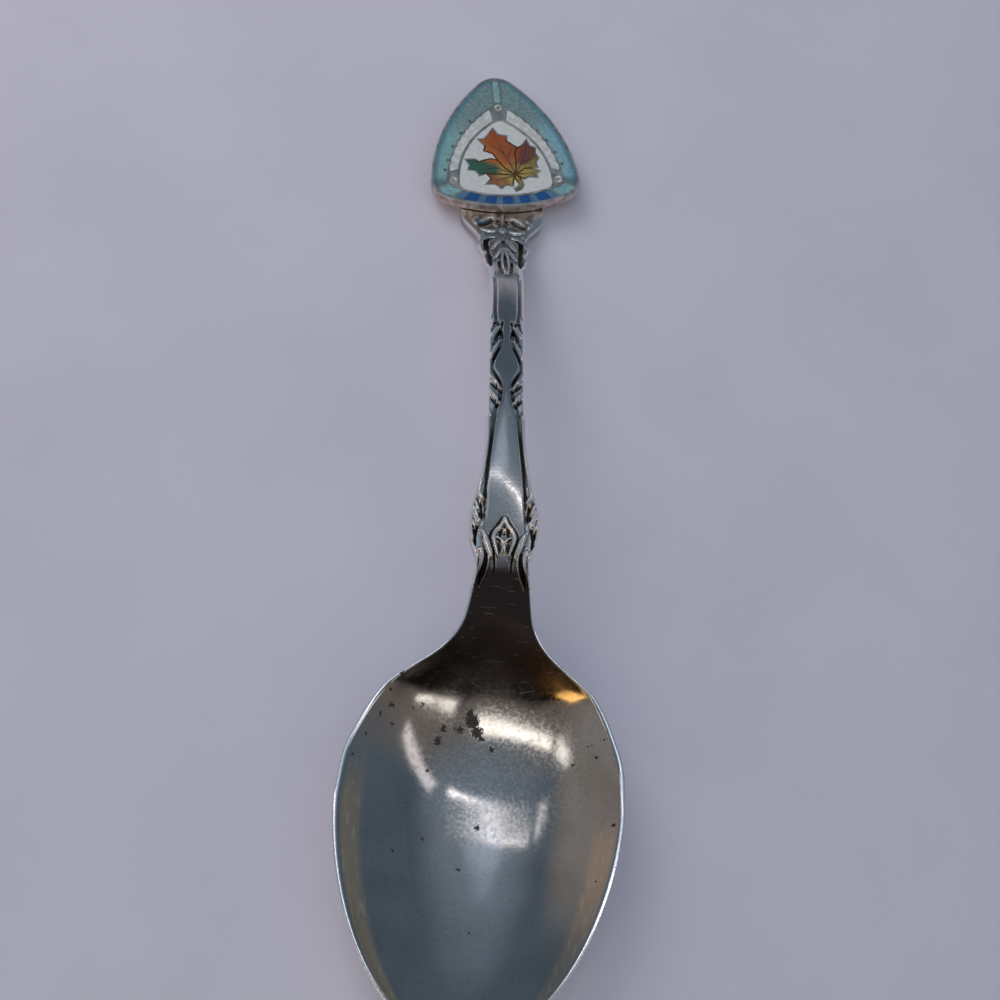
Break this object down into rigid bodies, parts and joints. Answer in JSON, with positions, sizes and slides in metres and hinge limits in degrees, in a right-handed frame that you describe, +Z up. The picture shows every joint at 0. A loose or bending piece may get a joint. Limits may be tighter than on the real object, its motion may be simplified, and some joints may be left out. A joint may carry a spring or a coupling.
{
  "type": "souvenir spoon",
  "caption": "Small silver spoon with an ornate stem and a rounded triangular finial, enamelled with a maple leaf, for stirring, tasting and display.",
  "frame": {"origin": "middle of the rectangle that the spoon covers on the table, at table height", "axes": "+Y along the stem, from the bowl's tip towards the finial; +X across, to the right when the bowl is nearest the viewer; +Z up, out of the bowl"},
  "size_m": [0.0264, 0.108, 0.0148],
  "materials": {
    "spoon_silver": "worn bright silver with dark tarnish in the recesses",
    "plaque_silver": "worn silver, slightly warm",
    "solder": "dull silver solder",
    "border_turquoise": "fused glass enamel, glossy",
    "pale_turquoise": "fused glass enamel, glossy",
    "white": "fused glass enamel, glossy",
    "royal_blue": "fused glass enamel, glossy",
    "sky_blue": "fused glass enamel, glossy",
    "leaf_orange": "fused glass enamel, glossy",
    "leaf_brown_red": "fused glass enamel, glossy",
    "leaf_dark_green": "fused glass enamel, glossy",
    "leaf_green": "fused glass enamel, glossy",
    "leaf_amber": "fused glass enamel, glossy",
    "leaf_stem_brown": "fused glass enamel, glossy"
  },
  "bodies": {
    "root": {"spoon_body": "spoon_silver", "finial_plaque": "plaque_silver", "solder_seam": "solder", "border_right": "border_turquoise", "border_left": "border_turquoise", "apex_bar": "pale_turquoise", "white_band_right": "white", "white_band_left": "white", "leaf_ground": "white", "scroll_right": "pale_turquoise", "scroll_left": "pale_turquoise", "rosette_right": "pale_turquoise", "rosette_top": "pale_turquoise", "rosette_left": "pale_turquoise", "name_cell_1": "royal_blue", "name_cell_2": "royal_blue", "name_cell_3": "royal_blue", "name_cell_4": "royal_blue", "name_cell_5": "royal_blue", "name_bar_1": "sky_blue", "name_bar_2": "sky_blue", "name_bar_3": "sky_blue", "name_bar_4": "sky_blue", "name_end_right": "sky_blue", "name_end_left": "sky_blue", "leaf_top": "leaf_orange", "leaf_right": "leaf_brown_red", "leaf_left": "leaf_dark_green", "leaf_low_right": "leaf_green", "leaf_low_left": "leaf_amber", "leaf_stem": "leaf_stem_brown"}
  },
  "joints": []
}
